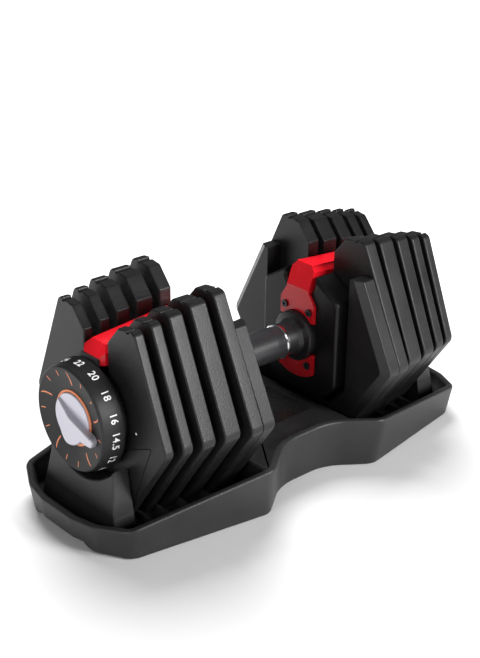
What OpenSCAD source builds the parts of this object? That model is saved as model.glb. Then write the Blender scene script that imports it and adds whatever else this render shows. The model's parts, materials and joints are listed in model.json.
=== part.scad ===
// Adjustable dumbbell standing in its storage tray.
// X runs along the handle, Z is up, the ground is z = 0.

/* [Overall] */
// height of the handle axis above the ground
axis_z = 99.2; // [82:0.2:120]
// half of the clear length between the two weight stacks
grip_half = 54; // [45:0.5:66]

/* [Handle] */
// radius of the moulded grip
grip_r = 15.1; // [13:0.1:18.5]
// distance of each grip ring from the middle
ring_x = 28.4; // [22:0.2:34]
// radius of the round flange against the guard
flange_r = 23; // [20:0.5:27]
// half width of the black guard
guard_half_w = 46; // [38:0.5:55]
// depth of the guard along the handle
guard_depth = 24.5; // [20:0.5:30]
// half width of the bridge beam that runs over the plates
bridge_half_w = 13.5; // [11:0.1:14.2]
// height of the bridge top above the axis, inner end
bridge_rise = 66.8; // [56:0.2:80]
// drop of the bridge top towards the dial
bridge_drop = 8.6; // [4:0.1:12]
// radius of the fixed core rod
rod_r = 7; // [5.6:0.1:8.4]
// outer radius of the selector sleeve
sleeve_r = 12; // [10.5:0.1:13.5]

/* [Plates] */
// half width of the innermost plate at its widest corner
plate_half_w = 100; // [84:0.5:120]
// top of the innermost plate above the axis
plate_rise = 94.8; // [80:0.2:112]
// half width lost from the first plate to the second
first_narrowing = 5.5; // [3:0.5:8]
// half width lost at each further plate
narrowing = 3; // [2:0.25:4]
// height lost at each plate
lowering = 3.25; // [2:0.25:4]
// clear gap between neighbouring plates
plate_gap = 6.8; // [6.2:0.1:8.5]
// thickness of the innermost plate behind its boss
thick_a = 12.5; // [10:0.1:15]
// thickness of the second plate
thick_b = 16.4; // [13.5:0.1:20]
// thickness of the third plate
thick_c = 13.4; // [11:0.1:16]
// thickness of the fourth plate
thick_d = 10; // [8:0.1:12]
// thickness of the outermost plate
thick_e = 9; // [7.5:0.1:11]
// half width of the slot each plate hangs by
slot_half = 15; // [14.6:0.1:18]

/* [Dials] */
// radius of the dial at its back edge
dial_r = 46.25; // [39:0.25:50]
// length of the dial along the axis
dial_depth = 19.9; // [17:0.1:24]
// radius of the coloured ring round the knob
ring_r = 22.7; // [19:0.1:26]
// clock angle of the knob lever, from the top towards the front
lever_angle = 106; // [0:1:359]

/* [Tray] */
// height of the rim at the inner corners
rim_z = 47; // [40:0.5:56]
// height of the deck between the two plate wells
deck_z = 38; // [32:0.5:41]
// height of the floor the plates stand on
floor_z = 10; // [9:0.5:12]
// width of the rim band
wall = 6.5; // [5.5:0.25:8]
// half width of the waist under the handle
waist_half = 69; // [60:0.5:78]
// length of tray beyond each dial knob
end_margin = 18; // [13:0.5:20]

/* [Hidden] */
$fn = 96;
eps = 0.02;
fit = 0.03;
run_fit = 0.08;

guard_x = grip_half;
guard_back = guard_x + guard_depth;
bracket_t = 2.5;
bracket_x = guard_x - bracket_t;
flange_x = guard_x - 8;
plate_x = guard_back + 1;
boss_depth = 16.7;
boss_x = plate_x - boss_depth;
thick = [thick_a, thick_b, thick_c, thick_d, thick_e];
corner_z = axis_z - 9.2;
edge_slope = 0.68;
horn_w = 51;
last_gap = 4.8;
web_t = 2.2;
lip_r = 38;
lip_spans = [120, 168, 216, 264, 312];
end_plate_t = 2;

function px0(i) = i == 0 ? plate_x : px1(i - 1) + plate_gap;
function px1(i) = px0(i) + thick[i];
function half_w(i) = plate_half_w - (i == 0 ? 0 : first_narrowing + narrowing * (i - 1));
function top_z(i) = axis_z + plate_rise - lowering * i;
function low_w(i) = half_w(i) - edge_slope * (corner_z - floor_z);
function gap_at(i) = i == 4 ? last_gap : plate_gap;
function tab_t(i) = i == 4 ? 1.8 : 3;
function web_x0(i) = px1(i) + gap_at(i) - 0.6 - (i == 4 ? 1.5 : web_t);
function web_x1(i) = px1(i) + gap_at(i) - 0.6;

end_x = px1(4) + last_gap;
dial_x = end_x + end_plate_t + 0.7;
dial_front = dial_x + dial_depth;
dial_front_r = dial_r - 2.4;
face_x = dial_front - 4.5;
knob_top = face_x + 7.6;
bridge_top = axis_z + bridge_rise;
under_z = axis_z + 42.8;
nose_x = px1(4) - 3.5;
bridge_run = nose_x - guard_x;
tray_end = knob_top + end_margin;
ped_x = px1(4) + 1.8;
draft_x = 0.00075;
draft_y = 0.0018;
side_drop = 0.135;
corner_x = boss_x + 2;

// unit vectors and lengths in the plane
function dir2(a, b) = (b - a) / norm(b - a);
function left2(v) = [-v[1], v[0]];

// polygon with every corner k rounded by radius r[k]
function rounded(p, r, n = 6) = [
  for (k = [0 : len(p) - 1])
    let (
      m = len(p),
      q = p[k],
      u = dir2(q, p[(k + m - 1) % m]),
      v = dir2(q, p[(k + 1) % m]),
      bend = acos(max(-1, min(1, u * v))),
      t = r[k] / tan(bend / 2),
      w = dir2([0, 0], u + v),
      c = q + w * (r[k] / sin(bend / 2)),
      s0 = q + u * t - c,
      s1 = q + v * t - c,
      a0 = atan2(s0[1], s0[0]),
      turn = (atan2(s1[1], s1[0]) - a0 + 540) % 360 - 180
    )
    each (r[k] <= 0 ? [q] : [for (j = [0 : n]) c + r[k] * [cos(a0 + turn * j / n), sin(a0 + turn * j / n)]])
];

// counter-clockwise polygon moved inward by d
function inset(p, d) = [
  for (k = [0 : len(p) - 1])
    let (
      m = len(p),
      a = left2(dir2(p[(k + m - 1) % m], p[k])),
      b = left2(dir2(p[k], p[(k + 1) % m]))
    )
    p[k] + (a + b) * d / (1 + a * b)
];

// turns a profile drawn in (y, z) into a slab from x0 to x1
module slab(x0, x1) {
  translate([x0, 0, 0]) rotate([90, 0, 90]) linear_extrude(height = x1 - x0) children();
}

// solid of revolution about the handle axis, profile in (radius, x)
module turned(pts) {
  translate([0, 0, axis_z]) rotate([0, 90, 0]) rotate_extrude() polygon(pts);
}

// round bar along the handle axis direction
module bar(r, x0, x1, y = 0, z = axis_z) {
  translate([x0, y, z]) rotate([0, 90, 0]) cylinder(r = r, h = x1 - x0);
}

// wedge that chamfers the edge from a to b of a profile, on its face at x
module edge_cut(a, b, x, side, dx, dz, over = 2) {
  run = norm(b - a);
  translate([x, a[0], a[1]]) rotate([atan2(b[1] - a[1], b[0] - a[0]), 0, 0])
    translate([0, run + over, 0]) rotate([90, 0, 0]) linear_extrude(height = run + 2 * over)
      polygon([[-side, dz * (1 + 1 / dx)], [side * dx * (1 + 1 / dz), -1], [-side, -1]]);
}

module both(side) {
  if (side < 0) mirror([1, 0, 0]) children();
  else children();
}

// ---- tray ----

function outline() =
  let (
    ex = tray_end,
    cy = plate_half_w - 2.5,
    q = [[ex, 20], [ex - 5, 46], [ex - 21, 75], [corner_x, cy], [28, waist_half]]
  )
  concat(q, [for (k = [4 : -1 : 0]) [-q[k][0], q[k][1]]],
    [for (k = [0 : 4]) [-q[k][0], -q[k][1]]], [for (k = [4 : -1 : 0]) [q[k][0], -q[k][1]]]);
function radii(d = 0) =
  let (q = [16 - d, 30 - d, 15 - d, 14 - d, 50 + d], w = [50 + d, 14 - d, 15 - d, 30 - d, 16 - d])
  concat(q, w, q, w);
function outline_at(z) = [for (p = outline()) [
  p[0] * (1 + draft_x * z) / (1 + draft_x * rim_z),
  p[1] * (1 + draft_y * z) / (1 + draft_y * rim_z)]];

module drafted(p, z0, z1) {
  translate([0, 0, z0])
    linear_extrude(height = z1 - z0, slices = 1, $fn = 8,
      scale = [(1 + draft_x * z1) / (1 + draft_x * z0), (1 + draft_y * z1) / (1 + draft_y * z0)])
      polygon(p);
}

module above_rim(side) {
  both(side) translate([corner_x, -150, rim_z]) rotate([0, atan(side_drop), 0])
    cube([240, 300, 60]);
}

module pedestal(side) {
  top_w = 40;
  both(side) difference() {
    intersection() {
      rotate([90, 0, 0]) translate([0, 0, -60]) linear_extrude(height = 120)
        polygon([[ped_x, floor_z - 1], [ped_x + 23, floor_z - 1], [ped_x + 14.7, axis_z - 34.8],
          [ped_x, axis_z - 34.8]]);
      slab(ped_x - 1, ped_x + 40)
        polygon([[-50, floor_z - 1], [50, floor_z - 1], [47, 26], [top_w, axis_z - 34.8],
          [-top_w, axis_z - 34.8], [-47, 26]]);
    }
    bar(dial_r + 6.75, ped_x - 1, ped_x + 40);
    translate([ped_x + 3, -34, floor_z - 5]) cube([10, 68, axis_z - dial_r - 16]);
  }
}

// rib standing in the gap behind plate i, keeps the plates apart
module rib(i, side) {
  x = px1(i) + plate_gap / 2;
  w = plate_half_w - 10.5 - (x - corner_x) * 0.165;
  both(side) slab(x - 1.8, x + 1.8)
    polygon([[-w, floor_z - 1], [w, floor_z - 1], [w, 25 - i * 2], [w - 9, 25 - i * 2], [w - 26, 16],
      [26 - w, 16], [9 - w, 25 - i * 2], [-w, 25 - i * 2]]);
}

module base_tray() color([0.13, 0.13, 0.14]) {
  difference() {
    drafted(rounded(outline_at(1), radii()), 1, rim_z);
    above_rim(1);
    above_rim(-1);
    // wells for the plates
    intersection() {
      drafted(rounded(inset(outline_at(floor_z), wall), radii(wall)), floor_z, rim_z + 6);
      union() {
        translate([boss_x - 2.5, -150, floor_z]) cube([300, 300, 80]);
        translate([-300 - boss_x + 2.5, -150, floor_z]) cube([300, 300, 80]);
      }
    }
    // shallow recess of the deck
    intersection() {
      drafted(rounded(inset(outline_at(deck_z), wall), radii(wall)), deck_z, rim_z + 6);
      translate([-boss_x + 2, -150, deck_z]) cube([2 * boss_x - 4, 300, 40]);
    }
    // label pocket
    translate([-46, -29, deck_z - 0.4]) cube([92, 58, 5]);
    // hollow underside
    intersection() {
      translate([0, 0, -1]) linear_extrude(height = deck_z - 3) polygon(inset(outline_at(1), 5));
      translate([5.5 - boss_x, -150, -1]) cube([2 * boss_x - 11, 300, 60]);
    }
    for (s = [-1, 1]) both(s) {
      intersection() {
        translate([0, 0, -1]) linear_extrude(height = floor_z - 3) polygon(inset(outline_at(1), 5));
        translate([boss_x - 1, -150, -1]) cube([300, 300, 60]);
      }
      // arch under the end wall
      slab(ped_x + 12, tray_end + 10) polygon([[-38, -1], [38, -1], [32, 6.5], [-32, 6.5]]);
    }
  }
  pedestal(1);
  pedestal(-1);
  for (i = [0 : 3]) {
    rib(i, 1);
    rib(i, -1);
  }
  difference() {
    for (sx = [-1, 1], sy = [-1, 1]) {
      translate([sx * (corner_x + 10), sy * 72, 1]) cylinder(r = 9, h = floor_z - 2);
      translate([sx * (tray_end - 34), sy * 48, 1]) cylinder(r = 9, h = floor_z - 2);
    }
    foot_spots() cylinder(r = 7.05, h = 6, center = true);
  }
}

module foot_spots() {
  for (sx = [-1, 1], sy = [-1, 1]) {
    translate([sx * (corner_x + 10), sy * 72, 0]) children();
    translate([sx * (tray_end - 34), sy * 48, 0]) children();
  }
}

module tray_feet() color([0.05, 0.05, 0.05]) foot_spots() cylinder(r = 7, h = 3);

module tray_label() color([0.06, 0.06, 0.06])
  translate([-45.9, -28.9, deck_z - 0.4]) cube([91.8, 57.8, 0.5]);

// ---- handle ----

module handle_tube() color([0.75, 0.76, 0.78]) difference() {
  bar(11, -guard_x - 6, guard_x + 6);
  bar(rod_r + fit, -guard_x - 7, guard_x + 7);
}

module core_rod() color([0.7, 0.7, 0.72]) bar(rod_r, -(dial_front - 8.4), dial_front - 8.4);

module grip() color([0.2, 0.2, 0.21]) turned([
  [11 + fit, -ring_x + 2], [grip_r - 0.8, -ring_x + 2], [grip_r - 0.5, -ring_x + 6],
  [grip_r, -ring_x + 12], [grip_r, ring_x - 12], [grip_r - 0.5, ring_x - 6],
  [grip_r - 0.8, ring_x - 2], [11 + fit, ring_x - 2]]);

module grip_ring(s) color([0.85, 0.86, 0.88]) both(s) turned([
  [11 + fit, ring_x - 1.9], [grip_r, ring_x - 1.9], [grip_r + 0.9, ring_x - 1],
  [grip_r + 0.9, ring_x + 1], [grip_r, ring_x + 1.9], [11 + fit, ring_x + 1.9]]);
module grip_ring_left() grip_ring(-1);
module grip_ring_right() grip_ring(1);

module hub(s) color([0.1, 0.1, 0.1]) both(s) turned([
  [11 + fit, ring_x + 2], [grip_r - 0.6, ring_x + 2], [grip_r - 0.2, flange_x - 6],
  [grip_r + 1.9, flange_x - 1.5], [flange_r - 1.2, flange_x], [flange_r, flange_x + 1.2],
  [flange_r, guard_x - eps], [11 + fit, guard_x - eps]]);
module hub_left() hub(-1);
module hub_right() hub(1);

guard_top = axis_z + 58.8;
guard_low = axis_z - 55.2;
guard_oct = [[guard_half_w - 16, guard_low],
  [guard_half_w, guard_low + 16], [guard_half_w, guard_top - 17], [16, guard_top],
  [-16, guard_top], [-guard_half_w, guard_top - 17], [-guard_half_w, guard_low + 16],
  [16 - guard_half_w, guard_low]];

module guard(s) color([0.09, 0.09, 0.1]) both(s) difference() {
  slab(guard_x, guard_back) polygon(guard_oct);
  for (k = [0 : 7]) edge_cut(guard_oct[k], guard_oct[(k + 1) % 8], guard_x, 1, 3, 3);
  // channel for the bridge beam
  translate([guard_x - 1, -bridge_half_w - fit, under_z - fit])
    cube([guard_depth + 2, 2 * (bridge_half_w + fit), 60]);
  bar(11 + fit, guard_x - 1, guard_x + 6.1);
  bar(rod_r + fit, guard_x, guard_back + 1);
  bar(sleeve_r + run_fit, guard_x + 12, guard_back + 1);
  for (y = [-15, 15], dz = [-25.8, 25.8]) bar(1.7, guard_x - 1, guard_x + 9, y, axis_z + dz);
}
module guard_left() guard(-1);
module guard_right() guard(1);

module screw_holes(r) {
  for (y = [-15, 15], dz = [-25.8, 25.8]) bar(r, bracket_x - 1, guard_x + 1, y, axis_z + dz);
}

module bridge(s) color([0.85, 0.05, 0.06]) both(s) difference() {
  union() {
    // face plate against the guard
    slab(bracket_x, guard_x - eps) polygon([[-21, axis_z + 16.3], [21, axis_z + 16.3],
      [21, axis_z + 32.5], [bridge_half_w, under_z + 1], [-bridge_half_w, under_z + 1],
      [-21, axis_z + 32.5]]);
    // beam over the plates, side view
    translate([0, bridge_half_w, 0]) rotate([90, 0, 0]) linear_extrude(height = 2 * bridge_half_w)
      polygon([[bracket_x, under_z], [end_x, under_z], [end_x, under_z + 6],
        [nose_x, bridge_top - bridge_drop], [bracket_x + 8, bridge_top], [bracket_x, under_z + 3]]);
  }
  // chamfers along both top edges
  for (sy = [-1, 1])
    translate([bracket_x, sy * bridge_half_w, bridge_top]) rotate([0, atan(bridge_drop / bridge_run), 0])
      rotate([45, 0, 0]) cube([2 * bridge_run + 60, 6.4, 6.4], center = true);
  // corner chamfers of the nose
  for (sy = [-1, 1])
    translate([end_x, sy * bridge_half_w, under_z]) rotate([0, 0, 45]) cube([5.5, 5.5, 60], center = true);
  // channel under the beam
  translate([guard_back + 2, -bridge_half_w + 3, under_z - 1])
    cube([nose_x - guard_back - 6, 2 * bridge_half_w - 6, 9]);
  bar(flange_r + 0.5, bracket_x - 1, guard_x + 1);
  screw_holes(2.3);
}
module bridge_left() bridge(-1);
module bridge_right() bridge(1);

module lower_bracket(s) color([0.85, 0.05, 0.06]) both(s) difference() {
  intersection() {
    slab(bracket_x, guard_x - eps)
      polygon([[-21.5, axis_z - 50], [21.5, axis_z - 50], [21.5, axis_z - 13.6], [-21.5, axis_z - 13.6]]);
    bar(39.8, bracket_x - 1, guard_x + 1);
  }
  bar(flange_r + 0.5, bracket_x - 1, guard_x + 1);
  screw_holes(2.3);
}
module lower_bracket_left() lower_bracket(-1);
module lower_bracket_right() lower_bracket(1);

// eight screws, their heads stand on the brackets
module bracket_screws() color([0.12, 0.12, 0.12])
  for (s = [-1, 1]) both(s)
    for (y = [-15, 15], dz = [-25.8, 25.8]) difference() {
      union() {
        bar(3.4, bracket_x - 1.6, bracket_x - eps, y, axis_z + dz);
        bar(1.6, bracket_x - 1, guard_x + 8, y, axis_z + dz);
      }
      translate([bracket_x - 1.7, y, axis_z + dz]) rotate([0, 90, 0]) cylinder(r = 1.5, h = 1.1, $fn = 6);
    }

module end_plate(s) color([0.08, 0.08, 0.09]) both(s) difference() {
  union() {
    slab(end_x + eps, end_x + end_plate_t)
      polygon([[-13, axis_z], [13, axis_z], [11, under_z + 6], [-11, under_z + 6]]);
    bar(20, end_x + eps, end_x + end_plate_t);
  }
  bar(sleeve_r + run_fit, end_x - 1, end_x + end_plate_t + 1);
}
module end_plate_left() end_plate(-1);
module end_plate_right() end_plate(1);

// ---- plates ----

// right half of a plate outline from the bottom up to the slot, (y, z)
function half_plate(i) = let (t = top_z(i), w = half_w(i), b = low_w(i)) [
  [b, floor_z], [w, corner_z], [horn_w - i / 2, t], [43.5, t], [42.5, t - 2.6], [40, t - 2.6], [39.5, t - 1],
  [29, t - 2], [slot_half, t - 18.5]];
half_r = [3, 9, 6, 0, 0, 0, 0, 1.5, 1];
function plate_pts(i) =
  let (h = half_plate(i), n = len(h) - 1)
  concat(rounded(concat(h, [for (a = [0 : -15 : -180]) [slot_half * cos(a), axis_z + slot_half * sin(a)]],
    [for (k = [n : -1 : 0]) [-h[k][0], h[k][1]]]),
    concat(half_r, [for (a = [0 : -15 : -180]) 0], [for (k = [n : -1 : 0]) half_r[k]])));

module boss_2d() {
  w = half_w(0);
  up = axis_z + 65.8;
  y_up = w - (w - horn_w) * (up - corner_z) / (top_z(0) - corner_z) - 1.6;
  polygon(rounded([[low_w(0), floor_z], [w, corner_z], [y_up, up], [guard_half_w + 5, up],
    [guard_half_w + 5, guard_low + 14], [guard_half_w - 12, guard_low - 4],
    [12 - guard_half_w, guard_low - 4], [-guard_half_w - 5, guard_low + 14],
    [-guard_half_w - 5, up], [-y_up, up], [-w, corner_z], [-low_w(0), floor_z]],
    [3, 9, 2, 2, 6, 4, 4, 6, 2, 2, 9, 3]));
}

module plate(i, s) color([0.15, 0.15, 0.16]) both(s) {
  slab(px0(i), px1(i)) polygon(plate_pts(i));
  if (i == 0) difference() {
    slab(boss_x, px0(0) + 0.5) boss_2d();
    // wide chamfers round the inner face
    for (sy = [-1, 1]) {
      a = [low_w(0), floor_z];
      b = [half_w(0), corner_z];
      c = [horn_w, top_z(0)];
      if (sy > 0) {
        edge_cut(a, b, boss_x, 1, 7, 9);
        edge_cut(b, c, boss_x, 1, 7, 9);
      } else {
        edge_cut([-b[0], b[1]], [-a[0], a[1]], boss_x, 1, 7, 9);
        edge_cut([-c[0], c[1]], [-b[0], b[1]], boss_x, 1, 7, 9);
      }
    }
  }
  // hook that the selector lip lifts
  intersection() {
    difference() {
      bar(44, px1(i) - 0.5, px1(i) + tab_t(i));
      bar(lip_r + 0.5, px1(i) - 1, px1(i) + tab_t(i) + 1);
    }
    slab(px1(i) - 1, px1(i) + 6)
      polygon([[0, axis_z], [60 * sin(27), axis_z + 60 * cos(27)], [60 * sin(52), axis_z + 60 * cos(52)]]);
  }
}
module plate_left_1() plate(0, -1);
module plate_left_2() plate(1, -1);
module plate_left_3() plate(2, -1);
module plate_left_4() plate(3, -1);
module plate_left_5() plate(4, -1);
module plate_right_1() plate(0, 1);
module plate_right_2() plate(1, 1);
module plate_right_3() plate(2, 1);
module plate_right_4() plate(3, 1);
module plate_right_5() plate(4, 1);

// ---- selectors and dials ----

// disc on the sleeve, its lip reaches under the hook of plate i
module selector(i, s) color([0.5, 0.5, 0.52]) {
  half = lip_spans[i] / 2;
  x0 = i == 0 ? guard_back + 1 : web_x1(i - 1) + 0.05;
  both(s) difference() {
    union() {
      bar(lip_r, web_x0(i), web_x1(i));
      bar(14, x0, web_x1(i));
      intersection() {
        difference() {
          bar(lip_r, px1(i) + 0.6, web_x0(i) + 0.2);
          bar(lip_r - 4, px1(i), web_x0(i) + 1);
        }
        slab(px1(i), web_x0(i) + 1) polygon(concat([[0, axis_z]],
          [for (k = [0 : 12]) let (a = 37 + 12 - half + 2 * half * k / 12)
            [70 * sin(a), axis_z + 70 * cos(a)]]));
      }
    }
    bar(sleeve_r + fit, x0 - 1, web_x1(i) + 1);
  }
}
module selector_left_1() selector(0, -1);
module selector_left_2() selector(1, -1);
module selector_left_3() selector(2, -1);
module selector_left_4() selector(3, -1);
module selector_left_5() selector(4, -1);
module selector_right_1() selector(0, 1);
module selector_right_2() selector(1, 1);
module selector_right_3() selector(2, 1);
module selector_right_4() selector(3, 1);
module selector_right_5() selector(4, 1);

module selector_sleeve(s) color([0.6, 0.6, 0.62]) both(s) difference() {
  bar(sleeve_r, guard_x + 13, dial_front - 8.6);
  bar(rod_r + 0.06, guard_x + 12, dial_front - 7);
}
module selector_sleeve_left() selector_sleeve(-1);
module selector_sleeve_right() selector_sleeve(1);

// cup open to the back with a dished face
module dial_body(s) color([0.16, 0.16, 0.17]) both(s) turned([
  [sleeve_r + fit, dial_x + 2], [sleeve_r + 3, dial_x + 2], [sleeve_r + 3, face_x - 3.4],
  [dial_front_r - 3, face_x - 3.4], [dial_r - 3.2, dial_x], [dial_r - 0.6, dial_x],
  [dial_r, dial_x + 1.2], [dial_front_r, dial_front - 1.5], [dial_front_r - 1.4, dial_front],
  [dial_front_r - 3.2, dial_front - 0.4], [ring_r + 0.6, face_x],
  [ring_r + 0.6, face_x - 1], [ring_r - 1.4, face_x - 1], [ring_r - 1.4, face_x],
  [10.4, face_x], [10.4, dial_front - 8.3], [sleeve_r + fit, dial_front - 8.3]]);
module dial_body_left() dial_body(-1);
module dial_body_right() dial_body(1);

module dial_ring(s) color([0.9, 0.42, 0.22]) both(s) turned([
  [ring_r - 1.35, face_x - 0.95], [ring_r + 0.55, face_x - 0.95],
  [ring_r + 0.55, face_x + 0.6], [ring_r - 1.35, face_x + 0.6]]);
module dial_ring_left() dial_ring(-1);
module dial_ring_right() dial_ring(1);

// round base with a raised half that runs out into the lever
module dial_knob(s) color([0.85, 0.84, 0.9]) rotate([0, 0, s < 0 ? 180 : 0]) difference() {
  union() {
    bar(ring_r - 1.6, face_x, face_x + 2.2);
    translate([0, 0, axis_z]) rotate([90 - lever_angle, 0, 0]) translate([0, 0, -axis_z]) {
      intersection() {
        bar(ring_r - 2.1, face_x + 1, knob_top);
        slab(face_x, knob_top + 1) polygon([[-40, axis_z - 40], [40, axis_z - 40],
          [40, axis_z + 4.5], [-40, axis_z + 4.5]]);
      }
      slab(face_x + 3.2, knob_top) polygon([[4, axis_z - 8.5], [31, axis_z - 4.2],
        [33.2, axis_z - 1.6], [33.2, axis_z + 1.6], [31, axis_z + 4], [4, axis_z + 4]]);
    }
  }
  bar(9, face_x - 1, face_x + 4);
}
module dial_knob_left() dial_knob(-1);
module dial_knob_right() dial_knob(1);

// screw and washer that hold the sleeve on the core rod
module dial_screw(s) color([0.6, 0.6, 0.6]) both(s) difference() {
  bar(8.6, dial_front - 8.35, dial_front - 4);
  bar(3, dial_front - 6, dial_front - 3);
}
module dial_screw_left() dial_screw(-1);
module dial_screw_right() dial_screw(1);

base_tray();
tray_feet();
tray_label();
handle_tube();
core_rod();
grip();
grip_ring_left();
grip_ring_right();
hub_left();
hub_right();
guard_left();
guard_right();
bridge_left();
bridge_right();
lower_bracket_left();
lower_bracket_right();
bracket_screws();
end_plate_left();
end_plate_right();
plate_left_1();
plate_left_2();
plate_left_3();
plate_left_4();
plate_left_5();
plate_right_1();
plate_right_2();
plate_right_3();
plate_right_4();
plate_right_5();
selector_left_1();
selector_left_2();
selector_left_3();
selector_left_4();
selector_left_5();
selector_right_1();
selector_right_2();
selector_right_3();
selector_right_4();
selector_right_5();
selector_sleeve_left();
selector_sleeve_right();
dial_body_left();
dial_body_right();
dial_ring_left();
dial_ring_right();
dial_knob_left();
dial_knob_right();
dial_screw_left();
dial_screw_right();
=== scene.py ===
import json
import math

import bpy
import numpy as np
from mathutils import Matrix, Vector

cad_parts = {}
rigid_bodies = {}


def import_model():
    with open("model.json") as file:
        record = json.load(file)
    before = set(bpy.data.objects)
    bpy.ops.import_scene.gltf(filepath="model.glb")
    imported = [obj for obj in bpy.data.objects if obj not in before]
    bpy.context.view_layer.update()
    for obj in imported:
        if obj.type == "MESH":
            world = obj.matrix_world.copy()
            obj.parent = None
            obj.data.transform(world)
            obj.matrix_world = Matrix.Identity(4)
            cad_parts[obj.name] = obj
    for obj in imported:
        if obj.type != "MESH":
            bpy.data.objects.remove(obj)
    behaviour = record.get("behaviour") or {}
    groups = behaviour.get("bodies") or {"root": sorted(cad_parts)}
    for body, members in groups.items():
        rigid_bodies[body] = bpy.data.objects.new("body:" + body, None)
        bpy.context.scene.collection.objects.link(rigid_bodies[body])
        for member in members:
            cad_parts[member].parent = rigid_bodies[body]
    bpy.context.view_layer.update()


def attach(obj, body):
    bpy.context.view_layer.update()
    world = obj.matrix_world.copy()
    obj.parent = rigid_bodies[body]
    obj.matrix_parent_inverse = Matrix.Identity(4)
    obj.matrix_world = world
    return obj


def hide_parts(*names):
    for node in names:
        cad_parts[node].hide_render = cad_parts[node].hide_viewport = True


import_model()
mm = 0.001
axisZ = 99.2  # height of the handle axis, mm
print("frame loaded")

# camera
view = {"azimuth": -42.34, "elevation": 24.17, "distance": 1118.12, "target": (-16.7, 0, 124.4),
        "lens": 71.48, "roll": 0.72}


def addCamera(v):
    a, e = math.radians(v["azimuth"]), math.radians(v["elevation"])
    back = Vector((math.sin(a) * math.cos(e), -math.cos(a) * math.cos(e), math.sin(e)))
    data = bpy.data.cameras.new("camera")
    data.lens = v["lens"]
    data.sensor_width = 36
    data.clip_start, data.clip_end = 0.05, 60
    cam = bpy.data.objects.new("camera", data)
    bpy.context.scene.collection.objects.link(cam)
    cam.location = (Vector(v["target"]) + back * v["distance"]) * mm
    cam.rotation_mode = "QUATERNION"
    turn = Matrix.Rotation(math.radians(v["roll"]), 4, "Z")
    cam.rotation_quaternion = ((-back).to_track_quat("-Z", "Y").to_matrix().to_4x4() @ turn).to_quaternion()
    bpy.context.scene.camera = cam


addCamera(view)


# shader maths: wraps a socket so that sums are written as Python expressions
class Tint:
    def __init__(self, tree, socket):
        self.tree, self.socket = tree, socket

    def math(self, operation, *others):
        n = self.tree.nodes.new("ShaderNodeMath")
        n.operation = operation
        for k, v in enumerate((self,) + others):
            feed(self.tree, n.inputs[k], v)
        return Tint(self.tree, n.outputs[0])

    def __add__(self, v): return self.math("ADD", v)
    def __radd__(self, v): return self.math("ADD", v)
    def __sub__(self, v): return self.math("SUBTRACT", v)
    def __rsub__(self, v): return (self * -1) + v
    def __mul__(self, v): return self.math("MULTIPLY", v)
    def __rmul__(self, v): return self.math("MULTIPLY", v)
    def __truediv__(self, v): return self.math("DIVIDE", v)
    def __pow__(self, v): return self.math("POWER", v)
    def clamp(self): return self.math("MINIMUM", 1.0).math("MAXIMUM", 0.0)


def feed(tree, socket, value):
    if isinstance(value, Tint):
        tree.links.new(value.socket, socket)
    elif isinstance(value, (tuple, list)) and len(value) == 3 and socket.type == "RGBA":
        socket.default_value = (*value, 1)
    else:
        socket.default_value = value


class Finish:
    # one material: a Principled shader and the method that adds any other node
    def __init__(self, name):
        self.mat = bpy.data.materials.new(name)
        self.mat.use_nodes = True
        self.tree = self.mat.node_tree
        self.shader = self.tree.nodes["Principled BSDF"]
        self.place = self.node("ShaderNodeTexCoord", out="Object")

    def node(self, kind, settings=None, out=0, **values):
        n = self.tree.nodes.new(kind)
        for k, v in (settings or {}).items():
            if k == "stops":
                ramp = n.color_ramp
                while len(ramp.elements) < len(v):
                    ramp.elements.new(0.5)
                for e, (at, c) in zip(ramp.elements, v):
                    e.position, e.color = at, (*c, 1)
            else:
                setattr(n, k, v)
        for k, v in values.items():
            key = int(k[1:]) if k[0] == "i" and k[1:].isdigit() else k.replace("_", " ")
            feed(self.tree, n.inputs[key], v)
        return Tint(self.tree, n.outputs[out])

    def noise(self, scale, detail=3, roughness=0.55, at=None):
        return self.node("ShaderNodeTexNoise", Vector=at or self.place, Scale=scale, Detail=detail,
                         Roughness=roughness)

    def stretched(self, scale, stretch, detail=3):
        moved = self.node("ShaderNodeMapping", Vector=self.place, Scale=stretch)
        return self.noise(scale, detail, at=moved)

    def mixColour(self, factor, a, b):
        return self.node("ShaderNodeMix", {"data_type": "RGBA"}, out=2, i0=factor, i6=a, i7=b)

    def set(self, **values):
        for k, v in values.items():
            feed(self.tree, self.shader.inputs[k.replace("_", " ")], v)
        return self

    def bump(self, height, strength, distance):
        b = self.node("ShaderNodeBump", Height=height, Strength=strength, Distance=distance)
        return self.set(Normal=b)


def moulded(name, dark, light, roughness, grain=0.35, grainScale=1400, scuffs=0.3, coat=0.0, shine=0.5):
    # moulded plastic: mottled colour, fine spark-eroded grain, faint drag marks and dust
    f = Finish(name)
    mottle = f.noise(38, 4)
    fine = f.noise(grainScale, 2, 0.6)
    drag = (f.stretched(60, (0.25, 1, 6), 5) * 2.2 - 0.95).clamp() ** 2
    dust = (f.noise(9, 5, 0.65) * 2.4 - 0.8).clamp()
    colour = f.mixColour((mottle * 0.8 + fine * 0.35 - 0.1).clamp(), dark, light)
    scuffed = tuple(min(1, c * 1.7 + 0.012) for c in light)
    f.set(Base_Color=f.mixColour((drag * scuffs + dust * 0.12).clamp(), colour, scuffed))
    f.set(Roughness=(mottle * 0.16 + dust * 0.08 + drag * 0.1 + (roughness - 0.12)).clamp())
    f.set(Coat_Weight=coat, Specular_IOR_Level=shine)
    f.bump(fine * 0.8 + mottle * 0.3, grain, 0.00035)
    return f.mat


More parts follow.
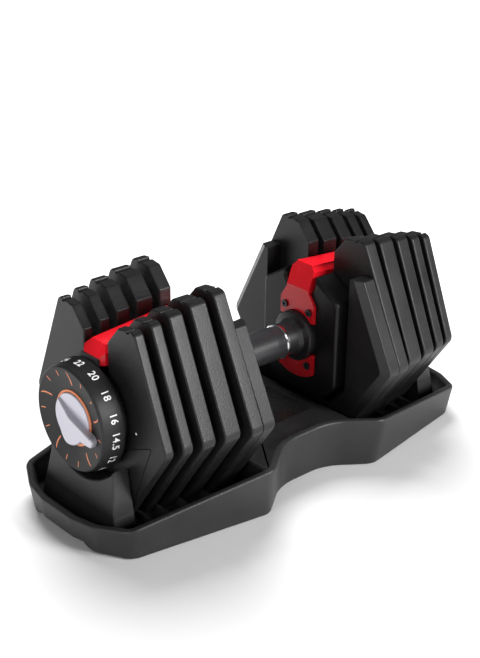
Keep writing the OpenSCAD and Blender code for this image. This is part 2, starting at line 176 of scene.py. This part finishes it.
def glossyRed(name, colour):
    # bright glossy plastic with faint flow marks and hairline marks
    f = Finish(name)
    flow = f.stretched(26, (1, 2, 2), 4)
    hair = (f.stretched(300, (0.08, 1, 1), 3) * 3 - 1.9).clamp()
    deep = tuple(c * 0.72 for c in colour)
    f.set(Base_Color=f.mixColour(flow, deep, colour), Roughness=(flow * 0.12 + hair * 0.15 + 0.2).clamp())
    f.set(Coat_Weight=0.08, Coat_Roughness=0.2, Specular_IOR_Level=0.35)
    f.bump(f.noise(420, 2) * 0.4 + flow * 0.5, 0.12, 0.0004)
    return f.mat


def metal(name, colour, roughness, brush=(1, 1, 1), scale=400, strength=0.1):
    # brushed or polished metal: stretched grain, smudges in the gloss
    f = Finish(name)
    lines = f.stretched(scale, brush, 4)
    smudge = f.noise(30, 4)
    dim = tuple(c * 0.82 for c in colour)
    f.set(Base_Color=f.mixColour(lines, dim, colour), Metallic=1.0)
    f.set(Roughness=(lines * 0.12 + smudge * 0.14 + (roughness - 0.1)).clamp())
    f.bump(lines, strength, 0.0002)
    return f.mat


def paint(name, colour, roughness=0.45):
    # pad-printed paint: slightly uneven, thin at places
    f = Finish(name)
    thin = f.noise(260, 4)
    f.set(Base_Color=f.mixColour(thin, tuple(c * 0.78 for c in colour), colour))
    f.set(Roughness=(thin * 0.2 + (roughness - 0.1)).clamp())
    f.bump(thin, 0.15, 0.0002)
    return f.mat


def silverPlastic(name):
    # metallic-effect plastic: fine flake, soft clear coat
    f = Finish(name)
    flake = f.noise(2600, 1)
    cloud = f.noise(45, 4)
    f.set(Base_Color=f.mixColour((flake * 0.5 + cloud * 0.5).clamp(), (0.5, 0.49, 0.57), (0.66, 0.65, 0.73)))
    f.set(Roughness=(cloud * 0.14 + 0.26).clamp(), Metallic=0.3, Coat_Weight=0.25, Coat_Roughness=0.15)
    f.bump(flake * 0.3 + cloud * 0.5, 0.08, 0.0003)
    return f.mat


# mould colours run from dark to light; the tints are linear
finishes = {
    "plate": {"dark": (0.0045, 0.0045, 0.0047), "light": (0.0125, 0.0125, 0.013), "roughness": 0.4,
              "grain": 0.6, "grainScale": 650, "scuffs": 0.26, "shine": 0.32},
    "tray": {"dark": (0.008, 0.008, 0.0085), "light": (0.022, 0.022, 0.023), "roughness": 0.46, "grain": 0.5,
             "grainScale": 650, "scuffs": 0.24, "shine": 0.45},
    "guard": {"dark": (0.0022, 0.0022, 0.0025), "light": (0.0055, 0.0055, 0.006), "roughness": 0.4,
              "scuffs": 0.1, "shine": 0.25},
    "dial": {"dark": (0.0065, 0.0065, 0.007), "light": (0.0125, 0.0125, 0.013), "roughness": 0.5,
             "grainScale": 1700, "scuffs": 0.12, "shine": 0.35},
    "grip": {"dark": (0.01, 0.01, 0.011), "light": (0.024, 0.024, 0.026), "roughness": 0.36, "grain": 0.5,
             "grainScale": 900, "scuffs": 0.1},
    "hub": {"dark": (0.006, 0.006, 0.007), "light": (0.012, 0.012, 0.013), "roughness": 0.42, "grain": 0.15,
            "scuffs": 0.1, "shine": 0.35},
    "pad": {"dark": (0.012, 0.012, 0.012), "light": (0.025, 0.025, 0.025), "roughness": 0.75, "grain": 0.6,
            "grainScale": 700},
    # painted shade: the selector and end plate plastic is kept as dark as the shaded gaps between the plates
    # where it sits
    "selector": {"dark": (0.01, 0.01, 0.01), "light": (0.022, 0.022, 0.022), "roughness": 0.55},
    "label": {"dark": (0.006, 0.006, 0.006), "light": (0.012, 0.012, 0.012), "roughness": 0.3, "grain": 0.05,
              "coat": 0.2}}

plateMat = moulded("plateBlack", **finishes["plate"])
trayMat = moulded("trayBlack", **finishes["tray"])
guardMat = moulded("guardBlack", **finishes["guard"])
dialMat = moulded("dialGrey", **finishes["dial"])
gripMat = moulded("gripRubber", **finishes["grip"])
hubMat = moulded("hubBlack", **finishes["hub"])
padMat = moulded("padRubber", **finishes["pad"])
# selector and end plate finish: its black is painted shade of the gaps between the plates
innerMat = moulded("selectorBlack", **finishes["selector"])
labelMat = moulded("labelGloss", **finishes["label"])
redMat = glossyRed("bridgeRed", (0.72, 0.008, 0.018))
chromeMat = metal("ringChrome", (0.86, 0.86, 0.88), 0.14, (1, 0.2, 0.2), 300, 0.04)
steelMat = metal("sleeveSteel", (0.6, 0.6, 0.62), 0.34, (6, 0.5, 0.5), 240, 0.15)
screwMat = metal("screwBlack", (0.06, 0.06, 0.065), 0.42, (1, 1, 1), 500, 0.2)
orangeMat = paint("markOrange", (0.86, 0.26, 0.1))
whiteMat = paint("digitWhite", (0.86, 0.86, 0.86))
knobMat = silverPlastic("knobSilver")
print("materials made")


# materials for the CAD nodes, by name start
nodeMats = {"base_tray": trayMat, "tray_feet": padMat, "tray_label": labelMat, "handle_tube": steelMat,
            "core_rod": steelMat, "grip_ring": chromeMat, "grip": gripMat, "hub": hubMat, "guard": guardMat,
            "bridge": redMat, "lower_bracket": redMat, "bracket_screws": screwMat, "end_plate": innerMat,
            "plate": plateMat, "selector_sleeve": steelMat, "selector": innerMat, "dial_body": dialMat,
            "dial_ring": orangeMat, "dial_knob": knobMat, "dial_screw": steelMat}


def dressNodes(table):
    for o in bpy.context.scene.objects:
        if o.type != "MESH":
            continue
        best = max((k for k in table if o.name.startswith(k)), key=len, default=None)
        if best:
            o.data.materials.clear()
            o.data.materials.append(table[best])


dressNodes(nodeMats)


def roundCorners(points, radii, steps=6, keepAll=False):
    # each corner becomes an arc: its centre lies on the bisector at r / sin(half angle),
    # and it sweeps between its tangent points
    p = np.asarray(points, float)
    r = np.maximum(np.asarray(radii, float), 1e-3)
    a, b = np.roll(p, 1, 0) - p, np.roll(p, -1, 0) - p
    a /= np.linalg.norm(a, axis=1, keepdims=True)
    b /= np.linalg.norm(b, axis=1, keepdims=True)
    half = np.arccos(np.clip((a * b).sum(1), -0.999999, 0.999999)) / 2
    w = a + b
    w /= np.maximum(np.linalg.norm(w, axis=1, keepdims=True), 1e-9)
    c = p + w * (r / np.sin(half))[:, None]
    s0, s1 = p + a * (r / np.tan(half))[:, None] - c, p + b * (r / np.tan(half))[:, None] - c
    t0, t1 = np.arctan2(s0[:, 1], s0[:, 0]), np.arctan2(s1[:, 1], s1[:, 0])
    turn = (t1 - t0 + 3 * np.pi) % (2 * np.pi) - np.pi
    t = t0[:, None] + turn[:, None] * np.linspace(0, 1, steps + 1)
    loop = (c[:, None] + r[:, None, None] * np.stack([np.cos(t), np.sin(t)], -1)).reshape(-1, 2)
    return loop if keepAll else loop[np.linalg.norm(loop - np.roll(loop, 1, 0), axis=1) > 0.02]


def shiftEdges(points, d):
    # edge k moves inward by d[k]; each corner is where its two moved edges cross
    p = np.asarray(points, float)
    e = np.roll(p, -1, 0) - p
    n = np.stack([-e[:, 1], e[:, 0]], -1) / np.linalg.norm(e, axis=1, keepdims=True)
    c = (n * p).sum(1) + np.asarray(d, float)
    rows = np.stack([np.roll(n, 1, 0), n], 1)
    return np.linalg.solve(rows, np.stack([np.roll(c, 1), c], 1)[..., None])[..., 0]


def shrink(loop, d):
    # every point moves inward along the mitre of its two edges
    e = np.roll(loop, -1, 0) - loop
    n = np.stack([-e[:, 1], e[:, 0]], -1) / np.linalg.norm(e, axis=1, keepdims=True)
    m = np.roll(n, 1, 0) + n
    k = 1 + (n * np.roll(n, 1, 0)).sum(1, keepdims=True)
    return loop + m * (np.asarray(d, float).reshape(-1, 1) if np.ndim(d) else d) / np.maximum(k, 0.35)


def makeObject(name, verts, faces, mat, side=1, smooth=True, weighted=True):
    verts = np.asarray(verts, float) * mm
    if side < 0:
        verts = verts * (-1, 1, 1)
        faces = [f[::-1] for f in faces]
    mesh = bpy.data.meshes.new(name)
    mesh.from_pydata(verts.tolist(), [], faces)
    mesh.materials.append(mat)
    mesh.validate()
    mesh.polygons.foreach_set("use_smooth", np.full(len(mesh.polygons), smooth))
    obj = bpy.data.objects.new(name, mesh)
    bpy.context.scene.collection.objects.link(obj)
    if weighted:
        w = obj.modifiers.new("shade", "WEIGHTED_NORMAL")
        w.keep_sharp = False
        w.weight = 100
    return obj


def skin(rows, capped=True):
    # quads between neighbouring rows of the grid, each row a closed loop, flat caps on the first and last row
    rows = np.asarray(rows, float)
    m, n = rows.shape[:2]
    i, j = np.meshgrid(np.arange(m - 1), np.arange(n), indexing="ij")
    k = (j + 1) % n
    quads = np.stack([i * n + j, i * n + k, (i + 1) * n + k, (i + 1) * n + j], -1).reshape(-1, 4).tolist()
    if capped:
        quads.append(list(range(n))[::-1])
        quads.append([(m - 1) * n + q for q in range(n)])
    return rows.reshape(-1, 3), quads


def slab(loop, x0, x1, edge0, edge1, steps=3, ease=1.0):
    # outline carried along x, its rim rounded by a quarter circle at each face;
    # ease thins the rounding at fine detail
    t = np.linspace(0, np.pi / 2, steps + 1)
    ins = np.concatenate([edge0 * (1 - np.sin(t)), edge1 * (1 - np.cos(t))])
    xs = np.concatenate([x0 + edge0 * (1 - np.cos(t)), x1 - edge1 * (1 - np.sin(t))])
    flat = [shrink(loop, d * ease * np.ones(len(loop))) for d in ins]
    return skin([np.column_stack([np.full(len(f), x), f]) for f, x in zip(flat, xs)])


def turned(profile, steps=120):
    # profile of (radius, x) spun about the handle axis
    p = np.asarray(profile, float)
    t = np.linspace(0, 2 * np.pi, steps, endpoint=False)
    r, x = p[:, :1], p[:, 1:]
    rows = np.stack([np.broadcast_to(x, (len(p), steps)), r * np.cos(t), axisZ + r * np.sin(t)], -1)
    return skin(rows, capped=False)


def place(obj, body, slot, *nodes):
    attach(obj, body)
    if nodes:
        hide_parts(*nodes)
    return obj


# plates
plates = {"halfWidth": 100, "top": 194, "cornerZ": 90, "floor": 10, "slope": 0.68, "horn": 51, "slot": 15,
          "gap": 6.8, "first": 79.5, "thick": (12.5, 16.4, 13.4, 10, 9), "narrow": (0, 5.5, 8.5, 11.5, 14.5),
          "lower": 3.25, "edge": 1.6}


def plateLoop(i, p=plates):
    w, t = p["halfWidth"] - p["narrow"][i], p["top"] - p["lower"] * i
    b = w - p["slope"] * (p["cornerZ"] - p["floor"])
    # right half of the outline: foot, widest corner, horn with its small notch, then the slot for the beam
    h = [(b, p["floor"]), (w, p["cornerZ"]), (p["horn"] - i / 2, t), (43.5, t), (42.5, t - 2.6),
         (40, t - 2.6), (39.5, t - 1), (29, t - 2), (p["slot"], t - 18.5)]
    r = [3, 9, 6, 0.7, 0, 0, 0.7, 2.6, 2.8]
    a = np.radians(np.arange(0, -181, -12))
    u = list(zip(p["slot"] * np.cos(a), axisZ + p["slot"] * np.sin(a)))
    pts = h + u + [(-y, z) for y, z in h[::-1]]
    return roundCorners(pts, r + [0] * len(u) + r[::-1])


def makePlates(p=plates):
    x = p["first"]
    for i, thick in enumerate(p["thick"]):
        for side, word in ((-1, "left"), (1, "right")):
            node = f"plate_{word}_{i + 1}"
            loop = plateLoop(i)
            fine = (loop[:, 1] > p["top"] - p["lower"] * i - 3.5) & (np.abs(np.abs(loop[:, 0]) - 41.5) < 3.5)
            shape = slab(loop, x, x + thick, p["edge"], p["edge"], ease=np.where(fine, 0.25, 1.0))
            obj = makeObject(f"plate_shell_{word}_{i + 1}", *shape, plateMat, side)
            place(obj, f"weight_{word}_{i + 1}", "plate_coated", node)
        x += thick + p["gap"]


makePlates()


# the panel starts inside the outermost plate, whose outer face is at x = 168
panel = {"outline": [(20, 20), (38, 20), (68.5, 92), (43, 81), (20, 63)], "round": 1.5, "x": (166, 168.7)}


def makePanels(c=panel):
    # shallow raised chevron on the lower half of each outermost plate
    half = c["outline"]
    for where, pts in (("back", half), ("front", [(-y, z) for y, z in half[::-1]])):
        loop = roundCorners(pts, [c["round"]] * len(half))
        for side, word in ((-1, "left"), (1, "right")):
            obj = makeObject(f"plate_panel_{word}_{where}", *slab(loop, *c["x"], 0.1, 0.5), plateMat, side)
            place(obj, f"weight_{word}_5", "plate_coated")


makePanels()


hook = {"low": 38.5, "high": 44, "from": 27, "to": 52, "proud": (3, 3, 3, 3, 1.8), "sunk": 0.4}


def makeHooks(c=hook, p=plates):
    # hook on each outer face for the selector lip: a ring segment whose two angles are taken off the top
    a = np.radians(np.linspace(c["from"], c["to"], 9))
    loop = np.concatenate([np.column_stack([r * np.sin(t), axisZ + r * np.cos(t)])
                           for r, t in ((c["low"], a), (c["high"], a[::-1]))])
    x = p["first"]
    for i, thick in enumerate(p["thick"]):
        x += thick
        shape = slab(loop, x - c["sunk"], x + c["proud"][i], 0, 0.4)
        for side, word in ((-1, "left"), (1, "right")):
            obj = makeObject(f"plate_hook_{word}_{i + 1}", *shape, plateMat, side)
            place(obj, f"weight_{word}_{i + 1}", "plate_coated")
        x += p["gap"]


makeHooks()
print("plates made")


boss = {"back": 79.7, "front": 62.8, "shoulder": 165, "deep": 5, "wide": 7, "inner": 51, "low": 40,
        "soft": 1.2}


def makeBosses(b=boss, p=plates):
    # thick frame on the innermost plate, open for the guard, its inner face chamfered along the outside
    w, floor = p["halfWidth"], p["floor"]
    low = w - p["slope"] * (p["cornerZ"] - floor)
    up = w - (w - p["horn"]) * (b["shoulder"] - p["cornerZ"]) / (p["top"] - p["cornerZ"]) - 1.6
    g, lz = b["inner"], b["low"]
    half = [(low, floor), (w, p["cornerZ"]), (up, b["shoulder"]), (g, b["shoulder"]), (g, lz + 18),
            (g - 17, lz)]
    pts = half + [(-y, z) for y, z in half[::-1]]
    r = [3, 9, 2, 1.5, 6, 4]
    cut = [b["wide"], b["wide"], 0, 0, 0, 0, 0, 0, 0, b["wide"], b["wide"], 4]
    loop = roundCorners(pts, r + r[::-1], keepAll=True)
    inner = roundCorners(shiftEdges(pts, cut), [2, 6, 0.5, 0.5, 6, 4, 4, 6, 0.5, 0.5, 6, 2], keepAll=True)
    for side, word in ((-1, "left"), (1, "right")):
        rows = [np.column_stack([np.full(len(loop), x), f]) for x, f in
                ((b["front"], inner), (b["front"] + b["deep"], loop), (b["back"], loop))]
        obj = makeObject(f"plate_boss_{word}", *skin(rows), plateMat, side, weighted=False)
        soften(obj, b["soft"])
        place(obj, f"weight_{word}_1", "plate_coated", f"plate_{word}_1")


def soften(obj, width, angle=22):
    b = obj.modifiers.new("edges", "BEVEL")
    b.width, b.segments, b.limit_method, b.angle_limit = width * mm, 3, "ANGLE", math.radians(angle)
    b.harden_normals = True


makeBosses()

guards = {"front": 54, "back": 78.5, "half": 46, "top": 158, "low": 44, "edge": 3.2, "notch": 13.55,
          "notchZ": 142}


def makeGuards(g=guards):
    h, t, l = g["half"], g["top"], g["low"]
    # the notch in the top lets the red beam through
    n = g["notch"]
    half = [(h - 16, l), (h, l + 16), (h, t - 17), (n + 4.5, t), (n + 4.2, g["notchZ"] + 8), (n, g["notchZ"])]
    loop = roundCorners(half + [(-y, z) for y, z in half[::-1]], [5, 6, 6, 0, 0, 0, 0, 0, 0, 6, 6, 5])
    for side, word in ((-1, "left"), (1, "right")):
        shape = slab(loop, g["front"], g["back"], g["edge"], 1.5, 5)
        obj = makeObject(f"guard_shell_{word}", *shape, guardMat, side)
        place(obj, "handle", "guard_plastic", f"guard_{word}")


makeGuards()
print("bosses and guards made")

tray = {"end": 216.5, "cornerX": 64.8, "cornerY": 97.5, "waist": 69, "rim": 47, "drop": 0.135, "wall": 6.5,
        "floor": 10, "draftX": 0.00075, "draftY": 0.0018, "round": 2.4, "arch": 5.5,
        "radii": [16, 30, 15, 14, 50]}


def trayOutline(t=tray):
    # one quarter of the outline, from the end to the waist, repeated by mirroring
    e, r = t["end"], t["radii"]
    q = [(e, 20), (e - 5, 46), (e - 21, 75), (t["cornerX"], t["cornerY"]), (28, t["waist"])]
    pts = q + [(-x, y) for x, y in q[::-1]] + [(-x, -y) for x, y in q] + [(x, -y) for x, y in q[::-1]]
    return roundCorners(pts, r + r[::-1] + r + r[::-1], 8)


def finer(loop, longest):
    # long edges get evenly spaced points so that heights can vary along them
    out = []
    for a, b in zip(loop, np.roll(loop, -1, 0)):
        n = max(1, int(np.ceil(np.linalg.norm(b - a) / longest)))
        out.append(a + (b - a) * np.arange(n)[:, None] / n)
    return np.concatenate(out)


def makeTray(t=tray):
    # the outline is carried up the wall, over the rounded rim and down to the floor;
    # height follows the rim, which falls towards both ends, and width follows the draft
    base = finer(trayOutline(), 6)
    rim = t["rim"] - t["drop"] * np.maximum(0, np.abs(base[:, 0]) - t["cornerX"])
    foot = 1 + t["arch"] * np.clip((38 - np.abs(base[:, 1])) / 6, 0, 1) * (np.abs(base[:, 0]) > 150)
    q = np.linspace(0, np.pi / 2, 5)
    rr = t["round"]
    over = [(rr * (1 - np.cos(a)), rim - rr * (1 - np.sin(a))) for a in q]
    back = [(t["wall"] - rr * (1 - np.sin(a)), rim - rr * (1 - np.cos(a))) for a in q]
    steps = [(5.5, 0 * rim + 8), (5.5, foot), (1.0, foot), (0.3, foot + 0.3), (0, foot + 1)] + over + back + [
        (t["wall"], 0 * rim + t["floor"])]
    rows = []
    for d, z in steps:
        f = shrink(base, d)
        sx = (1 + t["draftX"] * z) / (1 + t["draftX"] * t["rim"])
        sy = (1 + t["draftY"] * z) / (1 + t["draftY"] * t["rim"])
        rows.append(np.column_stack([f[:, 0] * sx, f[:, 1] * sy, z]))
    place(makeObject("tray_shell", *skin(rows), trayMat), "tray", "tray_plastic", "base_tray")


deck = {"corner": (60.3, 88), "waist": (28, 64.5), "top": 37.98, "round": 3}


def makeDeck(c=deck, t=tray):
    # raised deck between the wells: its outline carried up, the top edge turned in by a quarter circle
    (x, y), (u, v) = c["corner"], c["waist"]
    outline = [(x, -y), (x, y), (u, v), (-u, v), (-x, y), (-x, -y), (-u, -v), (u, -v)]
    loop = roundCorners(outline, [2, 2, 10, 10, 2, 2, 10, 10])
    rows = [np.column_stack([loop, np.full(len(loop), t["floor"] - 1)])]
    for a in np.linspace(0, np.pi / 2, 5):
        z = c["top"] - c["round"] * (1 - np.sin(a))
        rows.append(np.column_stack([shrink(loop, c["round"] * (1 - np.cos(a))), np.full(len(loop), z)]))
    place(makeObject("tray_deck", *skin(rows), trayMat), "tray", "tray_plastic", "base_tray")


pedestal = {"x": (169.8, 184.5), "cradle": 53, "half": 49, "foot": (50, 9), "side": (47, 26), "lean": 0.15}


def makePedestals(c=pedestal):
    # block under each dial with a cradle arc round the handle axis; its outer face leans outwards going down
    a = np.radians(np.linspace(-c["half"], c["half"], 25))
    arc = list(zip(-c["cradle"] * np.sin(a), axisZ - c["cradle"] * np.cos(a)))
    (y0, z0), (y1, z1) = c["foot"], c["side"]
    corners = [(-y0, z0), (y0, z0), (y1, z1)] + arc + [(-y1, z1)]
    verts, faces = slab(roundCorners(corners, [0] * len(corners)), *c["x"], 1.0, 1.8, 4)
    outer = verts[:, 0] > 175
    verts[outer, 0] += (axisZ - 34.8 - verts[outer, 2]) * c["lean"]
    for side, word in ((-1, "left"), (1, "right")):
        obj = makeObject(f"tray_pedestal_{word}", verts, faces, trayMat, side)
        place(obj, "tray", "tray_plastic", "base_tray")


rib = {"half": 1.8, "foot": 9, "top": 25, "step": 2, "inside": 16}


def makeRibs(c=rib, p=plates):
    # one rib in each gap between plates, tall at the walls and low in the middle
    x = p["first"]
    for i, thick in enumerate(p["thick"][:4]):
        x += thick + p["gap"]
        mid = x - p["gap"] / 2
        w = p["halfWidth"] - 10.5 - (mid - tray["cornerX"]) * 0.165
        z = c["top"] - c["step"] * i
        half = [(w, c["foot"]), (w, z), (w - 9, z), (w - 26, c["inside"])]
        loop = roundCorners(half + [(-y, q) for y, q in half[::-1]], [0, 1.5, 3, 6, 6, 3, 1.5, 0])
        shape = slab(loop, mid - c["half"], mid + c["half"], 0.8, 0.8)
        for side, word in ((-1, "left"), (1, "right")):
            obj = makeObject(f"tray_rib_{word}_{i + 1}", *shape, trayMat, side)
            place(obj, "tray", "tray_plastic", "base_tray")


makeTray()
makeDeck()
makePedestals()
makeRibs()
print("tray made")

dial = {"back": 175.5, "front": 195.4, "backR": 46.25, "frontR": 43.85, "face": 190.9, "steps": 15,
        "digitSize": 8.6, "digitX": 184.2, "lever": 106,
        "marks": (22, 20, 18, 16, 14.5, 12, 10, 9, 8, 6.5, 5.5, 4.5, 3.5, 2.5, 24)}


def dishX(r, d=dial):
    # straight dish from the ring to the lip
    return d["face"] + (np.asarray(r) - 23.3) * (d["front"] - 0.4 - d["face"]) / (40.65 - 23.3)


def halfTurn(verts):
    return verts * (-1, -1, 1)


def dialPiece(name, verts, faces, mat, word, slot, *nodes, weighted=True):
    # both dials are the same part: the left one is the right one turned half round
    v = halfTurn(verts) if word == "left" else verts
    return place(makeObject(f"{name}_{word}", v, faces, mat, weighted=weighted), f"dial_{word}", slot, *nodes)


def markStrip(angle, r0, r1, width, sweep, d=dial):
    # strip of the given width along a radius whose angle drifts by sweep times the square of the way out
    u, v = np.meshgrid(np.linspace(0, 1, 13), np.linspace(-1, 1, 3), indexing="ij")
    r = r0 + (r1 - r0) * u
    taper = np.sqrt(np.clip(1 - (2 * u - 1) ** 8, 0.02, 1))
    a = np.radians(angle + sweep * (u ** 2 - 0.3)) + v * width * taper / 2 / r
    x = dishX(r) + 0.16 - 0.22 * v ** 2
    verts = np.stack([x, r * np.sin(a), axisZ + r * np.cos(a)], -1)
    return verts


def makeDials(d=dial):
    b, f, rb, rf = d["back"], d["front"], d["backR"], d["frontR"]
    # radius and x of the shell: from the bore over the hollow back, round the rim,
    # then down the dish to the knob's seat
    profile = [(12.2, b + 2), (15, b + 2), (15, d["face"] - 3.4), (rf - 4, d["face"] - 3.4), (rb - 3.2, b),
               (rb - 0.8, b),
               (rb - 0.25, b + 0.25), (rb, b + 0.9), (rb - 0.5, b + 5), (rf + 0.35, f - 4), (rf, f - 1.9),
               (rf - 0.25, f - 1.0), (rf - 0.8, f - 0.35), (rf - 1.6, f), (rf - 2.5, f - 0.05),
               (rf - 3.2, f - 0.4), (32, dishX(32)), (23.5, dishX(23.5)), (23.2, d["face"] - 0.7),
               (21.4, d["face"] - 0.7), (10.4, d["face"])]
    shell = turned(profile)
    u, v = np.meshgrid(np.arange(12), np.arange(2), indexing="ij")
    quads = np.stack([u * 3 + v, u * 3 + v + 1, (u + 1) * 3 + v + 1, (u + 1) * 3 + v], -1).reshape(-1, 4)
    strips, faces = [], []
    for k in range(d["steps"]):
        angle = k * 360 / d["steps"]
        long, short = (28.6, 40.3, 1.9, -6), (35.2, 40.2, 1.25, 0)
        strip = markStrip(angle, *(long if k % 3 == 0 else short))
        faces += (quads + 39 * k).tolist()
        strips.append(strip.reshape(-1, 3))
    strips = np.concatenate(strips)
    for word in ("left", "right"):
        dialPiece("dial_shell", *shell, dialMat, word, "dial_plastic", f"dial_body_{word}")
        dialPiece("dial_marks", strips, faces, orangeMat, word, "orange_plastic", weighted=False)


def makeDigits(d=dial):
    # flat numerals wrapped round the conical rim:
    # across the digit is arc length, up the digit is towards the plates
    slope = (d["backR"] - d["frontR"]) / (d["front"] - d["back"])
    verts, faces, count = [], [], 0
    for k, mark in enumerate(d["marks"]):
        curve = bpy.data.curves.new("digits", "FONT")
        curve.body, curve.size = str(mark), d["digitSize"]
        curve.align_x, curve.align_y = "CENTER", "CENTER"
        curve.extrude, curve.offset = 0.12, 0.1
        curve.space_character, curve.resolution_u = 1.12, 4
        obj = bpy.data.objects.new("digits", curve)
        bpy.context.scene.collection.objects.link(obj)
        deps = bpy.context.evaluated_depsgraph_get()
        mesh = bpy.data.meshes.new_from_object(obj.evaluated_get(deps))
        flat = np.empty(len(mesh.vertices) * 3)
        mesh.vertices.foreach_get("co", flat)
        flat = flat.reshape(-1, 3)
        x = d["digitX"] - flat[:, 1]
        r = d["backR"] - slope * (x - d["back"]) + flat[:, 2] + 0.02
        a = math.radians(k * 360 / d["steps"]) + flat[:, 0] / d["backR"]
        verts.append(np.column_stack([x, r * np.sin(a), axisZ + r * np.cos(a)]))
        faces += [[q + count for q in f.vertices] for f in mesh.polygons]
        count += len(flat)
        bpy.data.objects.remove(obj)
    verts = np.concatenate(verts)
    for word in ("left", "right"):
        dialPiece("dial_digits", verts, faces, whiteMat, word, "silver_plastic", weighted=False)


knob = {"base": 190.9, "top": 198.5, "radius": 21.1, "reach": 33.2}


def makeKnobs(k=knob, d=dial):
    # low disc, and on it a raised half disc that runs out into the pointer lever;
    # the side away from the tip sinks into the disc
    b, r = k["base"], k["radius"]
    disc = turned([(r - 0.3, b - 0.5), (r, b), (r, b + 1.2), (r - 0.35, b + 1.8), (r - 1.1, b + 2.1),
                   (12, b + 2.5), (0.05, b + 2.7)])
    a = np.radians(np.linspace(157, 338, 44))
    arc = list(zip(20.7 * np.cos(a), axisZ + 20.7 * np.sin(a)))
    tip = [(30.5, axisZ - 4.4), (k["reach"], axisZ - 3), (k["reach"], axisZ + 3), (30.5, axisZ + 4.2),
           (2, axisZ + 5)]
    loop = roundCorners(arc + tip, [0] * len(arc) + [2, 2.4, 2.4, 2, 8])
    v, faces = slab(loop, b + 1.2, k["top"], 0.2, 1.7, 5)
    t = math.radians(90 - d["lever"])
    y, z = v[:, 1].copy(), v[:, 2] - axisZ
    ramp = np.clip((np.hypot(y, z) - 5) / 14, 0, 1) * np.clip((-y + 4) / 14, 0, 1)
    v[:, 0] -= (v[:, 0] > b + 2.5) * 3.6 * ramp
    v[:, 1], v[:, 2] = y * math.cos(t) - z * math.sin(t), axisZ + y * math.sin(t) + z * math.cos(t)
    for word in ("left", "right"):
        dialPiece("knob_disc", *disc, knobMat, word, "silver_plastic", f"dial_knob_{word}")
        dialPiece("knob_lever", v, faces, knobMat, word, "silver_plastic", f"dial_knob_{word}")


makeDials()
makeDigits()
makeKnobs()


def makeDots():
    # small index dot beside each dial, on the outermost plate
    a = np.linspace(0, 2 * np.pi, 16, endpoint=False)
    ring = [np.column_stack([np.full(16, x), 49.1 + r * np.cos(a), 97 + r * np.sin(a)]) for r, x in
            ((1.0, 167.9), (1.0, 168.12), (0.4, 168.16))]
    v, faces = skin(ring)
    for word in ("left", "right"):
        u = halfTurn(v) if word == "left" else v
        obj = makeObject(f"index_dot_{word}", u, faces, whiteMat, weighted=False)
        place(obj, f"weight_{word}_5", "silver_plastic")


makeDots()
print("dials made")

# floor, backdrop and light
room = {"floor": (0.62, 0.62, 0.62), "glow": 0.04, "clear": 0.22, "fade": 0.6, "world": 0.14, "shine": 0.1,
        "seen": 1.0}
lights = {"key": {"spot": (0.5, -1.5, 0.75), "aim": (0, 0, 0.1), "size": 0.6, "power": 36, "mirrored": True},
          "back": {"spot": (0.35, 0.72, 1.18), "aim": (0, 0, 0), "size": 1.1, "power": 45, "mirrored": False},
          "low": {"spot": (-1.5, -0.6, 0.7), "aim": (0, 0, 0.12), "size": 0.9, "power": 8, "mirrored": True}}


def addRoom(r):
    # the floor glows more the further it is from the object, so that it meets the white backdrop unseen
    f = Finish("paleFloor")
    away = f.node("ShaderNodeVectorMath", {"operation": "LENGTH"}, out="Value", i0=f.place)
    glow = ((away - r["clear"]) * (1 / r["fade"])).clamp() ** 2 * (1 - r["glow"]) + r["glow"]
    f.set(Base_Color=r["floor"], Roughness=0.9, Emission_Color=glow, Emission_Strength=1)
    mesh = bpy.data.meshes.new("floor")
    mesh.from_pydata([(-6, -4, 0), (8, -4, 0), (8, 10, 0), (-6, 10, 0)], [], [(0, 1, 2, 3)])
    mesh.materials.append(f.mat)
    floor = bpy.data.objects.new("floor", mesh)
    bpy.context.scene.collection.objects.link(floor)
    world = bpy.data.worlds.new("studio")
    bpy.context.scene.world = world
    world.use_nodes = True
    tree = world.node_tree
    back = tree.nodes["Background"]
    back.inputs[0].default_value = (1, 1, 1, 1)
    path = tree.nodes.new("ShaderNodeLightPath")
    seen, shine = (Tint(tree, path.outputs[k]) for k in ("Is Camera Ray", "Is Glossy Ray"))
    level = seen * (r["seen"] - r["world"]) + shine * (r["shine"] - r["world"]) + r["world"]
    tree.links.new(level.socket, back.inputs[1])


def addLight(name, spot, aim, size, power, mirrored):
    data = bpy.data.lights.new(name, "AREA")
    data.shape, data.size, data.energy = "DISK", size, power
    obj = bpy.data.objects.new(name, data)
    bpy.context.scene.collection.objects.link(obj)
    obj.location = spot
    obj.visible_glossy = mirrored
    obj.rotation_mode = "QUATERNION"
    obj.rotation_quaternion = (Vector(aim) - Vector(spot)).to_track_quat("-Z", "Y")


addRoom(room)
for name, values in lights.items():
    addLight(name, **values)
bpy.context.scene.view_settings.view_transform = "Standard"
print("room lit")
